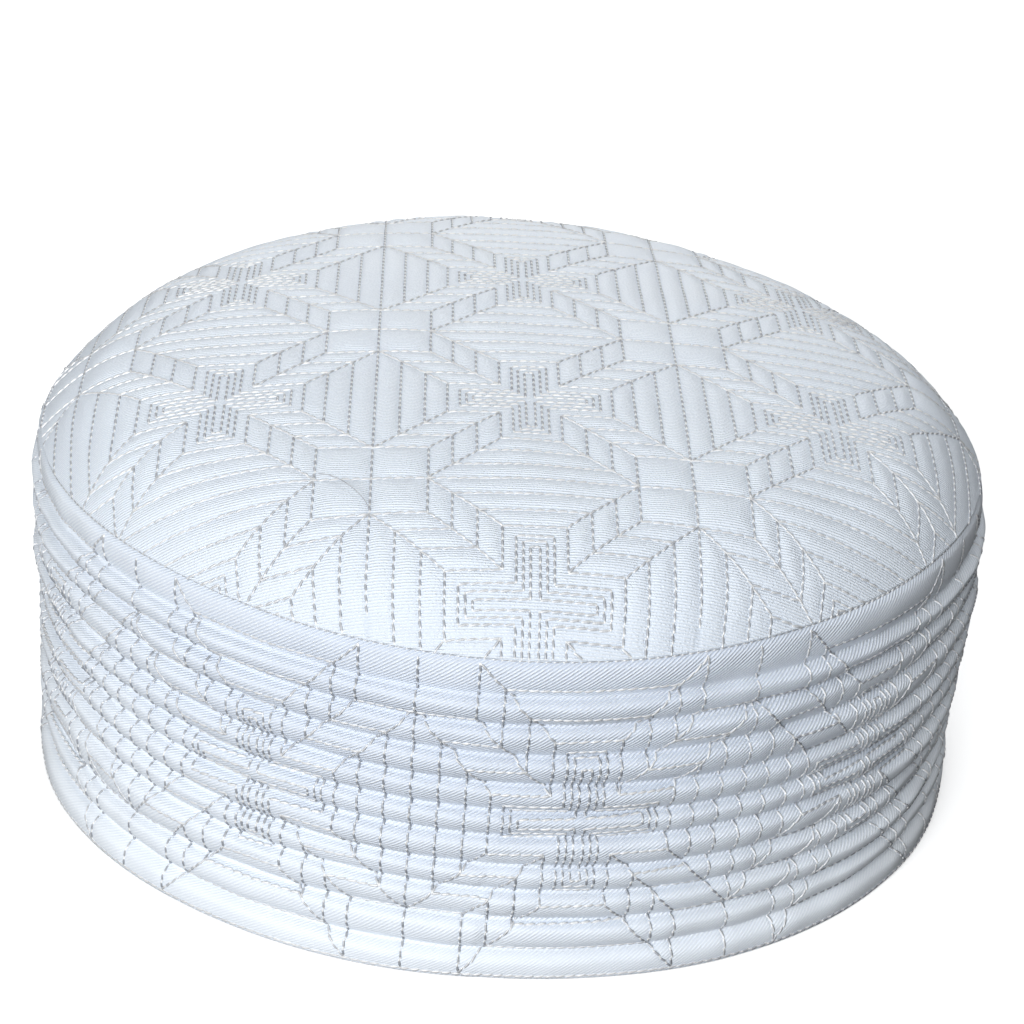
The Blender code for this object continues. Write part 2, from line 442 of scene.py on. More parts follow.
def band_place(shares):
    height = BAND_CROSS_HEIGHT + shares[..., 1] * BAND_PERIOD_HEIGHT
    return BAND_CROSS_TURN + shares[..., 0] * BAND_PERIOD_TURN + band_lean(height), height


def along_lines(lines):
    """Sampled places along straight lines of the lattice, as (line, sample, 2)."""
    part = np.linspace(0.0, 1.0, SAMPLES_ALONG)[None, :, None]
    return lines[:, None, 0] * (1 - part) + lines[:, None, 1] * part


# Mesh helpers


def stood(name, data):
    """An object in the scene with this data."""
    made = bpy.data.objects.new(name, data)
    bpy.context.scene.collection.objects.link(made)
    return made


def mesh_of(name, points, faces):
    mesh = bpy.data.meshes.new(name)
    mesh.from_pydata(points.tolist(), [], faces)
    mesh.update()
    return mesh


def new_piece(name, points, faces, material):
    """A mesh object from points in millimetres."""
    mesh = mesh_of(name, (points - MIDDLE) * MM, faces)
    mesh.shade_smooth()
    mesh.materials.append(material)
    return stood(name, mesh)


def keep_values(piece, **values):
    """Store one number or one vector at each point, under each name."""
    for name, table in values.items():
        table = np.asarray(table, np.float32)
        kind, label = ("FLOAT_VECTOR", "vector") if table.ndim == 2 else ("FLOAT", "value")
        piece.data.attributes.new(name, kind, "POINT").data.foreach_set(label, table.ravel())


def read_vectors(items, label):
    flat = np.empty(len(items) * 3, np.float32)
    items.foreach_get(label, flat)
    return flat.reshape(-1, 3).astype(float)


def places_and_normals(piece):
    """The piece's points, in the frame of the shape functions, and the directions outwards there."""
    places = read_vectors(piece.data.vertices, "co") / MM + MIDDLE
    return places, read_vectors(piece.data.vertex_normals, "vector")


def lay_cloth_map(piece, places):
    """A UV map named cloth, from one place for each point, in millimetres of cloth."""
    corners = np.empty(len(piece.data.loops), np.int32)
    piece.data.loops.foreach_get("vertex_index", corners)
    layer = piece.data.uv_layers.new(name="cloth")
    layer.data.foreach_set("uv", places.astype(np.float32)[corners].ravel())


def evaluated_mesh(made):
    graph = bpy.context.evaluated_depsgraph_get()
    return bpy.data.meshes.new_from_object(made.evaluated_get(graph), depsgraph=graph)


def worked(piece, tree, values):
    """Run a tree on a piece and keep the result as its plain mesh."""
    modifier = piece.modifiers.new(tree.name, "NODES")
    modifier.node_group = tree
    for item in tree.interface.items_tree:
        if item.in_out == "INPUT" and item.name in values:
            modifier[item.identifier] = values[item.name]
    made = evaluated_mesh(piece)
    piece.modifiers.remove(modifier)
    before = piece.data
    piece.data = made
    bpy.data.meshes.remove(before)
    made.name = piece.name


# Node trees


class Nodes:
    """A tree of geometry or shader nodes. What its methods give is a socket."""

    def __init__(self, tree):
        self.tree = tree

    def fill(self, node, inputs):
        """Link or set a node's inputs, by their names or numbers."""
        for socket, value in inputs.items():
            if isinstance(value, bpy.types.NodeSocket):
                self.tree.links.new(value, node.inputs[socket])
            else:
                node.inputs[socket].default_value = value

    def add(self, kind, inputs, output=0, **settings):
        """Add a node and give one of its outputs."""
        made = self.tree.nodes.new(kind)
        for label, value in settings.items():
            setattr(made, label, value)
        self.fill(made, inputs)
        return made.outputs[output]

    def math(self, operation, *values, **settings):
        return self.add("ShaderNodeMath", dict(enumerate(values)), operation=operation, **settings)

    def times(self, first, second):
        return self.math("MULTIPLY", first, second)

    def minus(self, first, second):
        return self.math("SUBTRACT", first, second)

    def mix(self, factor, first, second, **settings):
        inputs = {"Factor": factor, "A": first, "B": second}
        return self.add("ShaderNodeMix", inputs, "Result", **settings)

    def span(self, value, start, end, low=0.0, high=1.0, **settings):
        """The value carried from start and end over to low and high, and held there past them."""
        inputs = {"Value": value, "From Min": start, "From Max": end, "To Min": low, "To Max": high}
        return self.add("ShaderNodeMapRange", inputs, **settings)


class GeometryTree(Nodes):
    """A geometry tree with a named input for each value. One without a value takes a material."""

    kinds = {float: "NodeSocketFloat", int: "NodeSocketInt", type(None): "NodeSocketMaterial"}

    def __init__(self, name, values):
        super().__init__(bpy.data.node_groups.new(name, "GeometryNodeTree"))
        sockets = self.tree.interface
        sockets.new_socket("Geometry", in_out="INPUT", socket_type="NodeSocketGeometry")
        for label, value in values.items():
            socket = sockets.new_socket(label, in_out="INPUT", socket_type=self.kinds[type(value)])
            if value is not None:
                socket.default_value = value
        sockets.new_socket("Geometry", in_out="OUTPUT", socket_type="NodeSocketGeometry")
        self.given = self.tree.nodes.new("NodeGroupInput").outputs

    def stored(self, name, kind="FLOAT"):
        return self.add("GeometryNodeInputNamedAttribute", {"Name": name}, data_type=kind)

    def push_out(self, height):
        """Move every point along its stored outward direction by this height, and finish the tree."""
        inputs = {0: self.stored("outward", "FLOAT_VECTOR"), "Scale": height}
        offset = self.add("ShaderNodeVectorMath", inputs, operation="SCALE")
        inputs = {"Geometry": self.given["Geometry"], "Offset": offset}
        return self.finish(self.add("GeometryNodeSetPosition", inputs))

    def finish(self, geometry):
        self.fill(self.tree.nodes.new("NodeGroupOutput"), {"Geometry": geometry})
        return self.tree


def rib_tree():
    """Raises each padded rib: fast out of its upper valley, fullest there, then slowly back in."""
    tree = GeometryTree(
        "padded_ribs",
        {
            "Rib depth": RIB_DEPTH * MM,
            "Belly": RIB_BELLY,
            "Upper roundness": RIB_ROUNDNESS,
            "Lower roundness": RIB_UNDERSIDE,
        },
    )
    belly = tree.given["Belly"]
    down = tree.stored("rib_share")
    below = tree.math("GREATER_THAN", down, belly)
    reach = tree.mix(below, belly, tree.minus(1.0, belly))
    power = tree.mix(below, tree.given["Upper roundness"], tree.given["Lower roundness"])
    away = tree.math("ABSOLUTE", tree.minus(down, belly))
    fall = tree.math("POWER", tree.math("DIVIDE", away, reach), power)
    roll = tree.math("MAXIMUM", tree.minus(1.0, fall), 0.0)
    fullness = tree.times(roll, tree.stored("fullness"))
    return tree.push_out(tree.times(fullness, tree.given["Rib depth"]))


def quilt_tree():
    """Raises the padding between the stitched lines into soft puffs."""
    tree = GeometryTree("quilting", {"Puff height": PUFF_HEIGHT * MM, "Puff reach": PUFF_REACH})

    def risen(name):
        share = tree.math("DIVIDE", tree.stored(name), tree.given["Puff reach"])
        return tree.minus(1.0, tree.math("EXPONENT", tree.times(share, -1.0)))

    puff = tree.times(tree.times(risen("line_near"), risen("line_next")), tree.stored("padding"))
    height = tree.times(puff, tree.given["Puff height"])
    return tree.push_out(tree.math("ADD", height, tree.stored("crease")))


def stitch_tree():
    """Lays one short arched stitch of thread at each point, along its stored direction."""
    tree = GeometryTree(
        "thread_stitches",
        {
            "Thread radius": THREAD_RADIUS * MM,
            "Arch": 0.12 * MM,
            "Sink": 0.1 * MM,
            "Taper": 0.3,
            "Slant": 0.14,
            "Unevenness": 0.05,
            "Sides": 5,
            "Seed": 7,
            "Thread": None,
        },
    )
    given = tree.given
    weave_shade_mask = tree.times(given["Sink"], -1.0)

    def spot(along, height):
        return tree.add("ShaderNodeCombineXYZ", {"X": along, "Z": height})

    inputs = {
        "Resolution": 3,
        "Start": spot(-0.5, weave_shade_mask),
        "Start Handle": spot(-0.3, given["Arch"]),
        "End Handle": spot(0.3, given["Arch"]),
        "End": spot(0.5, weave_shade_mask),
    }
    bow = tree.add("GeometryNodeCurvePrimitiveBezierSegment", inputs)
    bow = tree.add("GeometryNodeResampleCurve", {"Curve": bow}, mode="EVALUATED")
    share = tree.add("GeometryNodeSplineParameter", {}, "Factor")
    off_middle = tree.math("ABSOLUTE", tree.minus(tree.times(share, 2.0), 1.0))
    thinned = tree.times(tree.math("POWER", off_middle, 3.0), given["Taper"])
    inputs = {"Geometry": bow, "Name": "stitch_end", "Value": tree.math("POWER", off_middle, 2.0)}
    bow = tree.add("GeometryNodeStoreNamedAttribute", inputs)
    inputs = {"Resolution": given["Sides"], "Radius": given["Thread radius"]}
    ring = tree.add("GeometryNodeCurvePrimitiveCircle", inputs)
    inputs = {"Curve": bow, "Profile Curve": ring, "Scale": tree.minus(1.0, thinned), "Fill Caps": True}
    thread = tree.add("GeometryNodeCurveToMesh", inputs)

    inputs = {"Vector": tree.stored("along", "FLOAT_VECTOR")}
    along = tree.add("FunctionNodeAlignRotationToVector", inputs, axis="X")
    inputs = {"Rotation": along, "Vector": tree.stored("outward", "FLOAT_VECTOR")}
    upright = tree.add("FunctionNodeAlignRotationToVector", inputs, axis="Z", pivot_axis="X")
    spread = given["Unevenness"]
    low = tree.times(spread, -1.0)

    def chance(offset):
        """A number for each stitch, up to the unevenness either way."""
        inputs = {"Min": low, "Max": spread, "Seed": tree.math("ADD", given["Seed"], offset)}
        return tree.add("FunctionNodeRandomValue", inputs, "Value", data_type="FLOAT")

    aside = tree.math("ADD", chance(2.0), given["Slant"])
    skew = tree.add("ShaderNodeCombineXYZ", {"Y": chance(1.0), "Z": aside})
    turned = tree.add("FunctionNodeRotateRotation", {0: upright, 1: skew}, rotation_space="LOCAL")
    length = tree.times(tree.stored("length"), tree.math("ADD", 1.0, chance(3.0)))
    size = tree.add("ShaderNodeCombineXYZ", {"X": length, "Y": 1.0, "Z": 1.0})
    cloud = tree.add("GeometryNodeMeshToPoints", {"Mesh": given["Geometry"]})
    inputs = {"Points": cloud, "Instance": thread, "Rotation": turned, "Scale": size}
    laid = tree.add("GeometryNodeInstanceOnPoints", inputs)
    real = tree.add("GeometryNodeRealizeInstances", {"Geometry": laid})
    inputs = {"Geometry": real, "Material": given["Thread"]}
    return tree.finish(tree.add("GeometryNodeSetMaterial", inputs))


def quilt(piece, tree, distances, padding, crease, height, reach):
    """Raise a piece's padding between the stitched lines, from how far they are."""
    near, following = distances
    keep_values(piece, line_near=near, line_next=following, padding=padding, crease=crease * MM)
    worked(piece, tree, {"Puff height": height * MM, "Puff reach": reach})


# Crown


def disc_places(cells):
    """A square grid of cells bent into a round one: (share of the radius, angle) of each corner."""
    side = np.linspace(-1.0, 1.0, cells + 1)
    across, up = np.meshgrid(side, side)
    wide = np.abs(across) >= np.abs(up)
    share = np.where(wide, np.abs(across), np.abs(up))
    with np.errstate(divide="ignore", invalid="ignore"):
        flat = np.where(across < 0, np.pi, 0.0) + np.pi / 4 * up / across
        steep = np.where(up < 0, np.pi, 0.0) + np.pi / 2 - np.pi / 4 * across / up
    angle = np.where(wide, flat, steep)
    angle[share == 0] = 0.0
    return share, angle


def disc_corner(share, angle):
    """The grid place from -1 to 1 of a share of the radius and an angle: the way back."""
    quarter = np.floor((angle + np.pi / 4) / (np.pi / 2)).astype(int) % 4
    side = share * (wrapped(angle - quarter * np.pi / 2) / (np.pi / 4))
    across = np.choose(quarter, [share, -side, -share, side])
    up = np.choose(quarter, [side, share, -side, -share])
    return across, up


def grid_faces(rows, columns, closed=False):
    """Quads of a grid of points. A closed grid joins its last column to its first."""
    below = np.arange(rows - 1)[:, None] * columns
    right = np.arange(columns if closed else columns - 1)[None, :]
    following = (right + 1) % columns
    corners = [below + right, below + following, below + columns + following, below + columns + right]
    return np.stack([corner.ravel() for corner in np.broadcast_arrays(*corners)], axis=1)


def ring_faces(upper, lower):
    """Quads between two closed rings of points."""
    return np.stack([upper, lower, np.roll(lower, -1), np.roll(upper, -1)], axis=1)


def rim_walk(cells):
    """The grid's outer corners in order round it, anticlockwise from above."""
    corners = np.arange((cells + 1) ** 2).reshape(cells + 1, cells + 1)
    return np.concatenate([corners[0, :-1], corners[:-1, -1], corners[-1, :0:-1], corners[:0:-1, 0]])


def walked(outward, upward):
    """The length of cloth from the first of these places to each."""
    return summed(np.hypot(np.diff(outward), np.diff(upward)))


# Places from the crown's pole to the dome's end, and then along its edge from there
DOME_OUT = np.linspace(0.0, DOME_END, 2000)
DOME_LENGTH = walked(DOME_OUT, crown_height(DOME_OUT))
EDGE_OUT, EDGE_UP = np.array([(SEAM_RADIUS - DOME_END, crown_height(DOME_END) - CROWN_BASE), *CROWN_EDGE]).T
EDGE_OUT, EDGE_UP = EDGE_OUT[0] - EDGE_OUT, EDGE_UP - EDGE_UP[0]
EDGE_LENGTH = walked(EDGE_OUT, EDGE_UP)


def even_radius(share):
    """The crown's radius at this share of the way from its pole to the dome's end, along the cloth."""
    return np.interp(share, DOME_LENGTH / DOME_LENGTH[-1], DOME_OUT)


def share_of_radius(radius):
    shares = np.linspace(0.0, 1.0, 2000)
    return np.interp(radius, even_radius(shares), shares)


def crown_points():
    """Points of the crown's top, edge and inside, before softening."""
    share, angle = disc_places(CROWN_CELLS)
    radius = even_radius(share)
    outer = turned_rows(radius, crown_height(radius), angle)
    inside, above = np.array(CROWN_EDGE).T[..., None]
    edge = turned_rows(SEAM_RADIUS - inside, CROWN_BASE + above, angle.ravel()[rim_walk(CROWN_CELLS)])
    share, angle = disc_places(CROWN_CELLS // LINING_SHARE)
    radius = share * LINING_RADIUS
    slope = crown_slope(radius)
    height = np.maximum(crown_height(radius) - CROWN_WALL * np.cos(slope), CROWN_BASE)
    lining = turned_rows(radius - CROWN_WALL * np.sin(slope), height, angle)
    return [part.reshape(-1, 3) for part in (outer, edge, lining)]


def crown_faces():
    outer_side, lining_side = CROWN_CELLS + 1, CROWN_CELLS // LINING_SHARE + 1
    walk = rim_walk(CROWN_CELLS)
    around = len(walk)
    faces = grid_faces(outer_side, outer_side).tolist()
    rings = [walk] + [outer_side**2 + ring * around + np.arange(around) for ring in range(len(CROWN_EDGE))]
    for upper, lower in zip(rings, rings[1:]):
        faces += ring_faces(upper, lower).tolist()
    start = outer_side**2 + len(CROWN_EDGE) * around
    faces += (grid_faces(lining_side, lining_side)[:, ::-1] + start).tolist()
    inner = rim_walk(CROWN_CELLS // LINING_SHARE) + start
    for step, corners in enumerate(zip(inner, np.roll(inner, -1))):
        outside = np.arange(LINING_SHARE, -1, -1) + step * LINING_SHARE
        faces.append([int(corners[1]), *rings[-1][outside % around].tolist(), int(corners[0])])
    return faces


def make_crown(material, quilting):
    outer, edge, lining = crown_points()
    turned = np.concatenate([outer, edge, lining])
    points = softened(turned)
    faces = crown_faces()
    radius = np.hypot(turned[:, 0], turned[:, 1])
    on_edge = slice(len(outer), len(outer) + len(edge))
    past_dome = np.repeat(EDGE_LENGTH[1:], len(edge) // len(CROWN_EDGE))
    reach = radius.copy()
    reach[on_edge] = DOME_END + past_dome
    period = np.array([CROWN_PERIOD, CROWN_PERIOD])
    distances = line_distances(crown_shares(points, radius, reach), period)
    on_top = np.arange(len(points)) < len(outer)
    taper = ramp(SEAM_RADIUS - radius, *CALM_RIM)
    crease = CREASE_DEPTH * uneven(points[:, 0], points[:, 1], CREASE_REACH, seed=3) * on_top * taper
    padding = np.where(on_top, RIM_PADDING + (1 - RIM_PADDING) * taper, 0.0)
    piece = new_piece("quilted_crown", points, faces, material)
    keep_values(piece, outward=places_and_normals(piece)[1])
    quilt(piece, quilting, distances, padding, crease, PUFF_HEIGHT, PUFF_REACH)
    keep_values(piece, stitched=on_top)
    travelled = np.interp(radius, DOME_OUT, DOME_LENGTH)
    travelled[on_edge] = DOME_LENGTH[-1] + past_dome
    flat = turned[:, :2] * (travelled / np.maximum(radius, 1e-6))[:, None]
    lay_cloth_map(piece, swung(flat, -CROWN_LATTICE_TURN))
    return piece


def grid_sampler(points, normals, rows, columns):
    """Read places and outward directions between the corners of a grid of points."""
    places = points.reshape(rows, columns, 3)
    outward = normals.reshape(rows, columns, 3)

    def read(row, column):
        row = np.clip(row, 0, rows - 1.001)
        column = np.clip(column, 0, columns - 1.001)
        top, left = row.astype(int), column.astype(int)
        down, right = (row - top)[..., None], (column - left)[..., None]

        def mixed(table):
            upper = table[top, left] * (1 - right) + table[top, left + 1] * right
            lower = table[top + 1, left] * (1 - right) + table[top + 1, left + 1] * right
            return upper * (1 - down) + lower * down

        return mixed(places), unit(mixed(outward))

    return read


def crown_reader(piece):
    """Finds the place on the finished crown of each lattice coordinate."""
    side = CROWN_CELLS + 1
    read = grid_sampler(*(table[: side**2] for table in places_and_normals(piece)), side, side)

    def place(shares):
        flat = crown_place(shares)
        angle = np.arctan2(flat[..., 1], flat[..., 0])
        stretched = np.hypot(flat[..., 0], flat[..., 1])
        radius = rim_relaxed(stretched)
        for _ in range(3):
            height = crown_height(np.minimum(radius, SEAM_RADIUS))
            outward = wave(SEAM_WAVES, angle, 1) - pressed_in(angle, height)
            radius = rim_relaxed(stretched / (1 + outward / SEAM_RADIUS))
        past_dome = np.maximum(radius - DOME_END, 0.0)
        across, up = disc_corner(share_of_radius(np.minimum(radius, DOME_END)), angle)
        spot, direction = read((up + 1) / 2 * CROWN_CELLS, (across + 1) / 2 * CROWN_CELLS)
        radial = turned_rows(1.0, 0.0, angle)
        spot = spot + radial * np.interp(past_dome, EDGE_LENGTH, EDGE_OUT)[..., None]
        spot[..., 2] += np.interp(past_dome, EDGE_LENGTH, EDGE_UP)
        stitched = EDGE_LENGTH[EDGE_STITCHED]
        direction = unit(direction + radial * (EDGE_LIFT * past_dome / stitched)[..., None])
        return spot, direction, past_dome < stitched

    return place


# Band


def smoothed_round(turns, values, azimuth):
    """A value round the cap, smoothed between the turns in degrees where it is known."""
    fine = np.arange(VALLEY_SAMPLES) * 360.0 / VALLEY_SAMPLES
    straight = np.interp(fine, turns, values, period=360.0)
    waves = np.fft.rfftfreq(VALLEY_SAMPLES, 1 / VALLEY_SAMPLES)
    kept = np.fft.rfft(straight) * np.exp(-((waves / VALLEY_SMOOTHNESS) ** 2))
    return np.interp(np.degrees(azimuth), fine, np.fft.irfft(kept, VALLEY_SAMPLES), period=360.0)


def valley_heights(angle):
    """Height of the valleys above and below each rib at each angle, as (valley, angle)."""
    azimuth = angle + np.pi / 2
    tall = np.array([height for height, _ in RIBS])
    level = SEAM_HEIGHT * (1 - np.cumsum(tall) / tall.sum())
    dice = np.random.default_rng(11)
    at_back = 0.5 - 0.5 * np.cos(azimuth)
    heights = [np.full_like(angle, SEAM_HEIGHT)]
    for height, known in zip(level, VALLEYS):
        stray = np.zeros_like(angle)
        for waves in WANDER_WAVES:
            swell = dice.normal() * np.sin(waves * angle + dice.uniform(0, 2 * np.pi))
            stray += swell / math.sqrt(waves / 2)
        turns, values = (*VALLEY_TURNS, *BACK_TURNS), (*known, *[height] * len(BACK_TURNS))
        heights.append(smoothed_round(turns, values, azimuth) + VALLEY_WANDER * at_back * stray)
    heights.append(np.zeros_like(angle))
    return np.array(heights)


def band_inside():
    """Radius and height of the rows from the hem's outer corner, up the inside, to the seam."""
    hem_outer = float(belly_radius(0.0)) - HEM_TUCK - HEM_SET_BACK
    hem = (hem_outer, hem_outer - UNDERSIDE_OUTER, INNER_RADIUS + UNDERSIDE_INNER, INNER_RADIUS + INNER_TURN)
    height = INNER_TURN + (SEAM_HEIGHT - 2 * INNER_TURN) * np.arange(LINING_ROWS + 1) / LINING_ROWS
    wall = np.column_stack([belly_radius(height) - RIB_DEPTH - BAND_WALL, height])
    seam_inner = belly_radius(SEAM_HEIGHT) - RIB_DEPTH - BAND_WALL
    top = [(seam_inner + INNER_TURN, SEAM_HEIGHT), (seam_inner + TOP_SHELF, SEAM_HEIGHT)]
    return np.concatenate([[(radius, 0.0) for radius in hem], wall, top])


def make_band(material, ribs, quilting):
    """The band, and the height of each row of its outside at each angle."""
    angle = np.arange(BAND_COLUMNS) / BAND_COLUMNS * 2 * np.pi - np.pi / 2
    heights = valley_heights(angle)
    count = len(RIBS)
    step = np.arange(count * ROWS_PER_RIB + 1)
    number = np.minimum(step // ROWS_PER_RIB, count - 1)
    down = step / ROWS_PER_RIB - number
    down = down - ROW_CROWDING * np.sin(2 * np.pi * down) / (2 * np.pi)
    height = heights[number] * (1 - down)[:, None] + heights[number + 1] * down[:, None]
    outer = turned_rows(belly_radius(height) - RIB_DEPTH - RIB_PINCH, height, angle)
    rest = band_inside()
    inner = turned_rows(rest[:, :1], rest[:, 1:], angle)
    rows = len(outer) + len(inner)
    points = softened(np.concatenate([outer, inner]).reshape(-1, 3))
    first, last = np.arange(BAND_COLUMNS), (rows - 1) * BAND_COLUMNS
    faces = [grid_faces(rows, BAND_COLUMNS, closed=True), ring_faces(first, last + first)]
    faces = np.concatenate(faces)[:, ::-1].tolist()

    azimuth = np.tile(wrapped(angle + np.pi / 2), rows)
    level = np.concatenate([height.ravel(), np.repeat(rest[:, 1], BAND_COLUMNS)])
    distances = line_distances(band_shares(azimuth, level), BAND_PERIOD)
    outside = np.arange(len(points)) < outer.size / 3

    fullness = np.array([full for _, full in RIBS])[number]
    plump = uneven(angle[None, :] * BAND_RADIUS, (number * RIBS_APART)[:, None], PLUMP_REACH, seed=5)
    rib_share = np.where(number == count - 1, down * LAST_RIB_END, down)
    rib_share = np.where(number == 0, FIRST_RIB_START + (1 - FIRST_RIB_START) * down, rib_share)
    full, share = np.zeros((2, rows, BAND_COLUMNS))
    full[: len(outer)] = fullness[:, None] * (1 + PLUMPNESS * plump)
    share[: len(outer)] = rib_share[:, None]
    round_measure = azimuth * BAND_RADIUS
    crease = BAND_CREASE_DEPTH * uneven(round_measure, level, BAND_CREASE_REACH, seed=8)
    calm = ramp(np.minimum(level, SEAM_HEIGHT - level), *CALM_EDGE) * outside

    piece = new_piece("ribbed_band", points, faces, material)
    keep_values(piece, outward=turned_rows(1.0, 0.0, azimuth - np.pi / 2), rib_share=share.ravel())
    keep_values(piece, fullness=full.ravel())
    worked(piece, ribs, {"Rib depth": (RIB_DEPTH + RIB_PINCH) * MM, "Belly": RIB_BELLY})
    quilt(piece, quilting, distances, calm, crease * calm, BAND_PUFF_HEIGHT, BAND_PUFF_REACH)
    keep_values(piece, stitched=outside)
    grid = places_and_normals(piece)[0].reshape(rows, BAND_COLUMNS, 3)
    travelled = summed(np.linalg.norm(np.diff(grid, axis=0), axis=2).mean(axis=1))
    lay_cloth_map(piece, np.column_stack([round_measure, np.repeat(-travelled, BAND_COLUMNS)]))
    return piece, height


def band_reader(piece, row_heights):
    """Finds the place on the finished band of an azimuth and a height, from every row's heights."""
    outer_rows = len(row_heights)

    def joined_round(table):
        table = table[: row_heights.size].reshape(outer_rows, BAND_COLUMNS, 3)
        return np.concatenate([table, table[:, :1]], axis=1)

    read = grid_sampler(*map(joined_round, places_and_normals(piece)), outer_rows, BAND_COLUMNS + 1)

    def place(azimuth, height):
        column = np.mod(azimuth / (2 * np.pi), 1.0) * BAND_COLUMNS
        row = np.empty(column.shape)
        nearest = np.round(column).astype(int) % BAND_COLUMNS
        for one in np.unique(nearest):
            here = nearest == one
            row[here] = np.interp(-height[here], -row_heights[:, one], np.arange(outer_rows))
        return read(row, column)

    return place


# Thread


def split_into_stitches(paths, directions, inside, pitch):
    """Cut sampled rows of thread into stitches: centre, direction, outward direction and length."""
    found = []
    for path, outward, shown in zip(paths, directions, inside):
        if shown.sum() < 2:
            continue
        path, outward = path[shown], outward[shown]
        travelled = summed(np.linalg.norm(np.diff(path, axis=0), axis=1))
        if travelled[-1] < SHORTEST_ROW * pitch:
            continue
        count = max(1, round(travelled[-1] / pitch))
        one = travelled[-1] / count
        middle = (np.arange(count) + 0.5) * one
        reach = one * STITCH_SHARE / 2

        def at(distance, table):
            return np.stack([np.interp(distance, travelled, table[:, axis]) for axis in range(3)], axis=1)

        start, end = at(middle - reach, path), at(middle + reach, path)
        centre = (start + end) / 2 * CHORD_SHARE + at(middle, path) * (1 - CHORD_SHARE)
        along = end - start
        length = np.linalg.norm(along, axis=1)
        heading = along / np.maximum(length, 1e-6)[:, None]
        stitches = np.column_stack([centre, heading, at(middle, outward), length])
        found.append(stitches[length > SHORTEST_STITCH * pitch])
    return np.concatenate(found)


def crown_lustre(stitches):
    """How much painted light each stitch gets: the painted highlight runs across the cap, and along one of
    the diagonals.
    """
    heading = np.arctan2(stitches[:, 4], stitches[:, 3])
    near_front = ramp(-stitches[:, 1], *FRONT_REACH)[:, None]
    middle, spread = (CROWN_PAINTED_LIGHT * (1 - near_front) + FRONT_PAINTED_LIGHT * near_front).T
    return middle + spread * np.cos(2 * (heading + CROWN_PAINTED_HIGHLIGHT_TURN))


def band_lustre(stitches):
    """The same for the band: the painted highlight runs along the ribs on the left, and steeply up on the
    right, where painted shade makes the thread duller; thread facing up gets more painted highlight.
    """
    place = stitches[:, :2]
    radius = np.linalg.norm(place, axis=1)
    around = (stitches[:, 4] * place[:, 0] - stitches[:, 3] * place[:, 1]) / radius
    heading = np.arctan2(stitches[:, 5], around)
    turned_right = ramp(place[:, 0] / radius, *RIGHT_REACH)
    painted_shine = BAND_PAINTED_LIGHT[0] + BAND_PAINTED_LIGHT[1] * np.cos(2 * (heading - BAND_PAINTED_HIGHLIGHT_TURN * turned_right))
    return np.clip(painted_shine * (1 - RIGHT_PAINTED_SHADE * turned_right) + SKY_PAINTED_HIGHLIGHT * stitches[:, 8], 0.0, 1.0)


def sew(name, rows, lustre_of, tree, material, pitch=STITCH_PITCH, radius=THREAD_RADIUS):
    """One piece of thread along sampled rows: their places, outward directions and what is shown."""
    stitches = split_into_stitches(*rows, pitch)
    piece = new_piece(name, stitches[:, :3], [], material)
    keep_values(piece, along=stitches[:, 3:6], outward=stitches[:, 6:9])
    # Painted light for each stitch: the thread's colour is mixed from painted shade to painted highlight by
    # it
    keep_values(piece, length=stitches[:, 9] * MM, lustre=lustre_of(stitches))
    worked(piece, tree, {"Thread radius": radius * MM, "Thread": material})
    piece.data.shade_smooth()
    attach(piece, "root")


EMBROIDERY = {"crosses": cross_lines, "chevrons": chevron_lines, "diamonds": diamond_lines}


def sew_crown(piece, tree, material):
    place = crown_reader(piece)
    for part, quarter in EMBROIDERY.items():
        lines = mirrored(quarter(), *CROWN_LATTICE)
        middle = np.linalg.norm(crown_place(lines.mean(axis=1)), axis=1)
        rows = place(along_lines(lines[middle < SEAM_RADIUS + PAST_RIM]))
        sew(f"crown_{part}", rows, crown_lustre, tree, material)


def sew_band(piece, tree, material, row_heights):
    place = band_reader(piece, row_heights)
    top = SEAM_HEIGHT - BAND_LATTICE_MARGIN
    for part, quarter in EMBROIDERY.items():
        azimuth, height = band_place(along_lines(mirrored(quarter(), *BAND_LATTICE)))
        inside = (np.abs(azimuth) <= np.pi) & (height > BAND_LATTICE_MARGIN) & (height < top)
        keep = inside.any(axis=1)
        rows = (*place(azimuth[keep], height[keep]), inside[keep])
        sew(f"band_{part}", rows, band_lustre, tree, material)
    azimuth = np.linspace(-np.pi, np.pi, SAMPLES_AROUND)[None]
    for name, height, pitch, radius, lustre in ROUND_ROWS:
        rows = (*place(azimuth, np.full(azimuth.shape, height)), np.ones(azimuth.shape, bool))
        sew(name, rows, lambda stitches: np.full(len(stitches), lustre), tree, material, pitch, radius)


def leave_loose_thread(material):
    """The short end of thread that lies curled on the front left of the crown."""
    curve = bpy.data.curves.new("loose_thread", "CURVE")
    curve.dimensions = "3D"
    curve.bevel_depth = LOOSE_THREAD_RADIUS * MM
    curve.bevel_resolution = 1
    curve.use_fill_caps = True
    spline = curve.splines.new("BEZIER")
    spline.bezier_points.add(len(LOOSE_THREAD) - 1)
    for point, (x, y, lift) in zip(spline.bezier_points, LOOSE_THREAD):
        place = softened(np.array([x, y, float(crown_height(math.hypot(x, y)))]))
        point.co = (place + (0.0, 0.0, lift + PUFF_HEIGHT) - MIDDLE) * MM
        point.handle_left_type = point.handle_right_type = "AUTO"
    held = stood("loose_thread_curve", curve)
    mesh = evaluated_mesh(held)
    bpy.data.objects.remove(held)
    mesh.name = "loose_thread"
    mesh.materials.clear()
    mesh.materials.append(material)
    piece = stood("loose_thread", mesh)
    keep_values(piece, lustre=np.full(len(mesh.vertices), LOOSE_THREAD_PAINTED_LIGHT))
    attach(piece, "root")


# Finishes


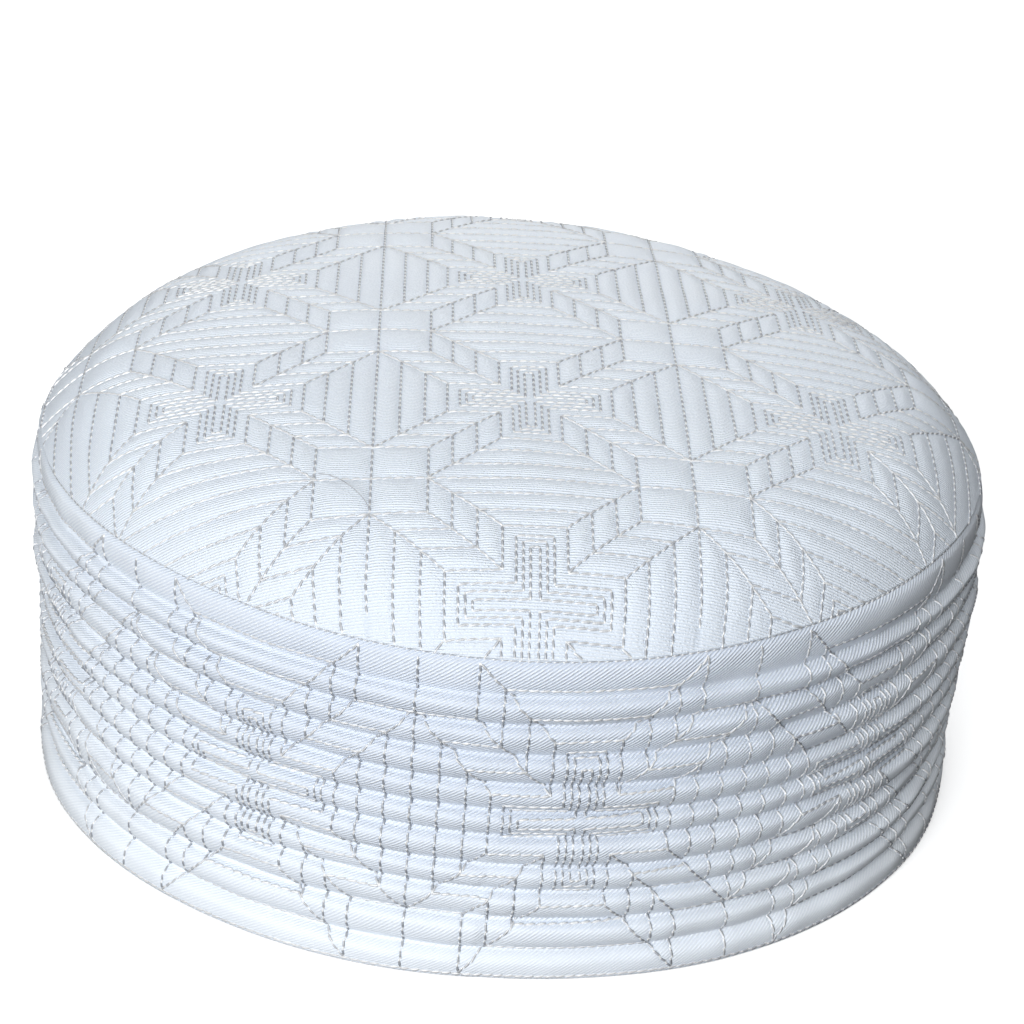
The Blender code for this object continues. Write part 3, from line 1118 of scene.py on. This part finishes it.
class Finish(Nodes):
    """A material and its shader nodes."""

    def __init__(self, name):
        self.material = bpy.data.materials.new(name)
        self.material.use_nodes = True
        super().__init__(self.material.node_tree)

    def where(self):
        return self.add("ShaderNodeTexCoord", {}, "Object")

    def stored(self, name):
        return self.add("ShaderNodeAttribute", {}, "Fac", attribute_name=name)

    def noise(self, place, scale, detail):
        return self.add("ShaderNodeTexNoise", {"Vector": place, "Scale": scale, "Detail": detail}, "Fac")

    def paint(self, factor, first, second, **settings):
        return self.mix(factor, first, second, data_type="RGBA", **settings)

    def bump(self, height, strength, metres, over=None, **settings):
        """A bump this many metres high, over another one if it is given."""
        inputs = {"Height": height, "Strength": strength, "Distance": metres}
        if over is not None:
            inputs["Normal"] = over
        return self.add("ShaderNodeBump", inputs, **settings)

    def finish(self, inputs):
        """Set the surface's own values and give the material."""
        self.fill(self.tree.nodes["Principled BSDF"], inputs)
        return self.material


def tinted(colour, tint):
    return tuple(own * share for own, share in zip(colour, tint))


def cloth_finish(name, colour, pitch, turn, relief, crossed_share, weave_painted_shade, fade_end, seed):
    """White cotton with fine raised lines and painted shade in their grooves, soft unevenness, and needle
    lines pressed in with painted shade along them.
    """
    cotton = Finish(name)
    cloth = cotton.add("ShaderNodeUVMap", {}, uv_map="cloth")
    turned = cotton.add("ShaderNodeMapping", {"Vector": cloth, "Rotation": (0, 0, turn)})
    # A wave texture at scale 1 has 20 / (2 pi) bands to the unit
    scale = 2 * math.pi / (20 * pitch)
    inputs = {"Vector": turned, "Scale": scale, "Distortion": 0.25, "Detail": 1.0, "Detail Scale": 0.6}
    lines = cotton.add("ShaderNodeTexWave", inputs, "Fac", wave_type="BANDS", bands_direction="Y")
    crossing = cotton.span(cotton.noise(turned, CROSSINGS_PER_MM, 1.0), *CROSSING_EDGES)
    woven = cotton.mix(crossed_share, lines, cotton.times(lines, crossing))

    where = {"Vector": cotton.where()}
    above = cotton.add("ShaderNodeSeparateXYZ", where, "Z")
    behind = cotton.add("ShaderNodeSeparateXYZ", where, "Y")
    low_down = cotton.span(above, 0.0, FADE_HEIGHT, HEM_CRISPNESS, 1.0)
    far_back = cotton.span(behind, FADE_START, fade_end, 1.0, FAR_CRISPNESS)
    crisp = cotton.times(low_down, far_back)

    inputs = {"Vector": cloth, "W": seed, "Scale": MOTTLES_PER_MM, "Detail": 2.0}
    mottle = cotton.add("ShaderNodeTexNoise", inputs, "Fac", noise_dimensions="4D")
    groove = cotton.span(cotton.stored("line_near"), *GROOVE, 1.0, 0.0, interpolation_type="SMOOTHSTEP")
    needled = cotton.times(groove, cotton.stored("stitched"))
    tint = cotton.paint(mottle, colour, tinted(colour, MOTTLE_TINT))
    # Painted shade: the grooves between the raised weave lines are darkened and tinted blue, less so where
    # the weave is less crisp
    weave_shade_mask = cotton.times(cotton.minus(1.0, woven), crisp)
    tint = cotton.paint(weave_shade_mask, tint, weave_painted_shade, blend_type="MULTIPLY")
    # Painted shade along the stitched lines, where the cloth is pressed in
    tint = cotton.paint(needled, tint, NEEDLE_PAINTED_SHADE, blend_type="MULTIPLY")

    normal = cotton.bump(cotton.times(woven, crisp), 0.8, relief * MM)
    normal = cotton.bump(cotton.noise(cloth, FIBRES_PER_MM, 3.0), 0.35, FIBRE_HEIGHT * MM, normal)
    normal = cotton.bump(needled, 0.4, NEEDLE_DEPTH * MM, normal, invert=True)
    return cotton.finish(
        {
            "Base Color": tint,
            "Roughness": 0.55,
            "Specular IOR Level": 0.25,
            "Sheen Weight": 0.04,
            "Sheen Roughness": 0.4,
            "Normal": normal,
        }
    )


def thread_finish():
    """Rayon thread with a silvery lustre painted into its colour as highlight and shade. Where a stitch is
    painted dull its ends get a painted highlight, and the other way round.
    """
    rayon = Finish("silver_thread")
    where = rayon.where()
    lustre = rayon.stored("lustre")
    at_end = rayon.span(rayon.stored("stitch_end"), *STITCH_END, interpolation_type="SMOOTHSTEP")
    along = rayon.mix(at_end, lustre, rayon.span(lustre, 0.0, 1.0, *END_PAINTED_LIGHT))
    stray = rayon.span(rayon.noise(where, STRAYS_PER_METRE, 1.0), 0.0, 1.0, -PAINTED_LIGHT_STRAY, PAINTED_LIGHT_STRAY)
    painted_shine = rayon.math("ADD", along, stray, use_clamp=True)
    inputs = {"Vector": where, "Scale": PLIES_PER_METRE, "Distortion": 2.0}
    plies = rayon.add("ShaderNodeTexWave", inputs, "Fac")
    return rayon.finish(
        {
            # Painted highlight and painted shade: the colour runs from the shaded grey to the lit white with
            # the painted light
            "Base Color": rayon.paint(painted_shine, THREAD_IN_PAINTED_SHADE, THREAD_IN_PAINTED_HIGHLIGHT),
            "Metallic": 0.1,
            "Roughness": 0.4,
            "Specular IOR Level": 0.5,
            "Normal": rayon.bump(plies, 0.3, PLY_HEIGHT * MM),
        }
    )


def floor_finish():
    board = Finish("pale_floor")
    grain = board.noise(board.where(), 6.0, 2.0)
    return board.finish(
        {
            "Base Color": board.paint(grain, FLOOR, tinted(FLOOR, FLOOR_GRAIN_TINT)),
            "Roughness": 0.7,
            "Emission Color": WHITE,
            "Emission Strength": 0.4,
        }
    )


# Studio

FLOOR_REACH = 3.0  # metres each way
FLOOR_DROP = 0.00005  # metres under the hem

# Soft boxes: (name, degrees round from the front towards +X, degrees up, power in watts)
SOFT_BOXES = (
    ("front_left", 340, 20, 22.3),
    ("front_high", 340, 45, 2.5),
    ("right_high", 90, 60, 4.0),
    ("back_top", 180, 70, 5.4),
    ("back_low", 180, 20, 6.8),
)
BOX_SIDE = 0.9  # metres
BOX_DISTANCE = 1.4  # metres
STUDIO_GLOW = 0.03

CAMERA_PLACE = (-0.285, -480.775, 299.445)
CAMERA_AIM = (1.212, 3.916, 45.608)
CAMERA_UP = (-0.0583, 0.4633, 0.8843)
SENSOR_WIDTH = 36.0
FOCAL_SHARE = 2642.0 / 1024.0  # focal length for one unit of picture width


def make_floor():
    corners = np.array([(-1, -1), (1, -1), (1, 1), (-1, 1)]) * FLOOR_REACH
    mesh = mesh_of("floor", np.column_stack([corners, np.full(4, -FLOOR_DROP)]), [(0, 1, 2, 3)])
    mesh.materials.append(floor_finish())
    floor = stood("floor", mesh)
    # The white floor is seen, but throws no light up at the cap
    floor.visible_diffuse = False
    floor.visible_glossy = False


def make_lights():
    for name, around, up, power in SOFT_BOXES:
        around, up = math.radians(around), math.radians(up)
        towards = Vector((math.sin(around) * math.cos(up), -math.cos(around) * math.cos(up), math.sin(up)))
        light = bpy.data.lights.new(name, "AREA")
        light.shape = "SQUARE"
        light.size = BOX_SIDE
        light.energy = power
        box = stood(name, light)
        box.visible_camera = False
        box.location = towards * BOX_DISTANCE
        box.rotation_mode = "QUATERNION"
        box.rotation_quaternion = (-towards).to_track_quat("-Z", "Y")
    world = bpy.data.worlds.new("studio")
    world.use_nodes = True
    background = world.node_tree.nodes["Background"].inputs
    background["Color"].default_value = WHITE
    background["Strength"].default_value = STUDIO_GLOW
    bpy.context.scene.world = world
    bpy.context.scene.view_settings.view_transform = "Standard"


def make_camera():
    data = bpy.data.cameras.new("camera")
    data.sensor_width = SENSOR_WIDTH
    data.lens = SENSOR_WIDTH * FOCAL_SHARE
    camera = stood("camera", data)
    place, aim = Vector(CAMERA_PLACE) * MM, Vector(CAMERA_AIM) * MM
    back = (place - aim).normalized()
    right = Vector(CAMERA_UP).cross(back).normalized()
    turned = Matrix((right, back.cross(right), back)).transposed()
    camera.matrix_world = Matrix.Translation(place) @ turned.to_4x4()
    bpy.context.scene.camera = camera


def dress():
    corded = cloth_finish(
        "corded_cotton", CROWN_COTTON, pitch=0.57, turn=0.0, relief=0.22, crossed_share=0.7,
        weave_painted_shade=(0.74, 0.78, 0.84, 1.0), fade_end=0.08, seed=2.0,
    )
    twill = cloth_finish(
        "twill_cotton", BAND_COTTON, pitch=0.58, turn=math.radians(-36), relief=0.2, crossed_share=0.6,
        weave_painted_shade=(0.66, 0.7, 0.79, 1.0), fade_end=-0.04, seed=5.0,
    )
    quilting, stitching, thread = quilt_tree(), stitch_tree(), thread_finish()
    crown = make_crown(corded, quilting)
    band, row_heights = make_band(twill, rib_tree(), quilting)
    sew_crown(crown, stitching, thread)
    sew_band(band, stitching, thread, row_heights)
    leave_loose_thread(thread)
    for piece, node, slot, fill in (
        (crown, "crown", "crown_cloth", 0.5),
        (band, "band", "band_cloth", 0.6),
    ):
        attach(piece, "root")
        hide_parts(node)


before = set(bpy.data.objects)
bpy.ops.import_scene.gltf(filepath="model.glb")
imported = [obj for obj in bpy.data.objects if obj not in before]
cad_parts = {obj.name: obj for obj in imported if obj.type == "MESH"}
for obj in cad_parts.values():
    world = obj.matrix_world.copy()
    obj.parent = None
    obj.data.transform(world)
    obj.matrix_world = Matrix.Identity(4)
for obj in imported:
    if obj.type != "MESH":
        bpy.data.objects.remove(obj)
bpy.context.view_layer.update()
make_camera()
dress()
make_floor()
make_lights()
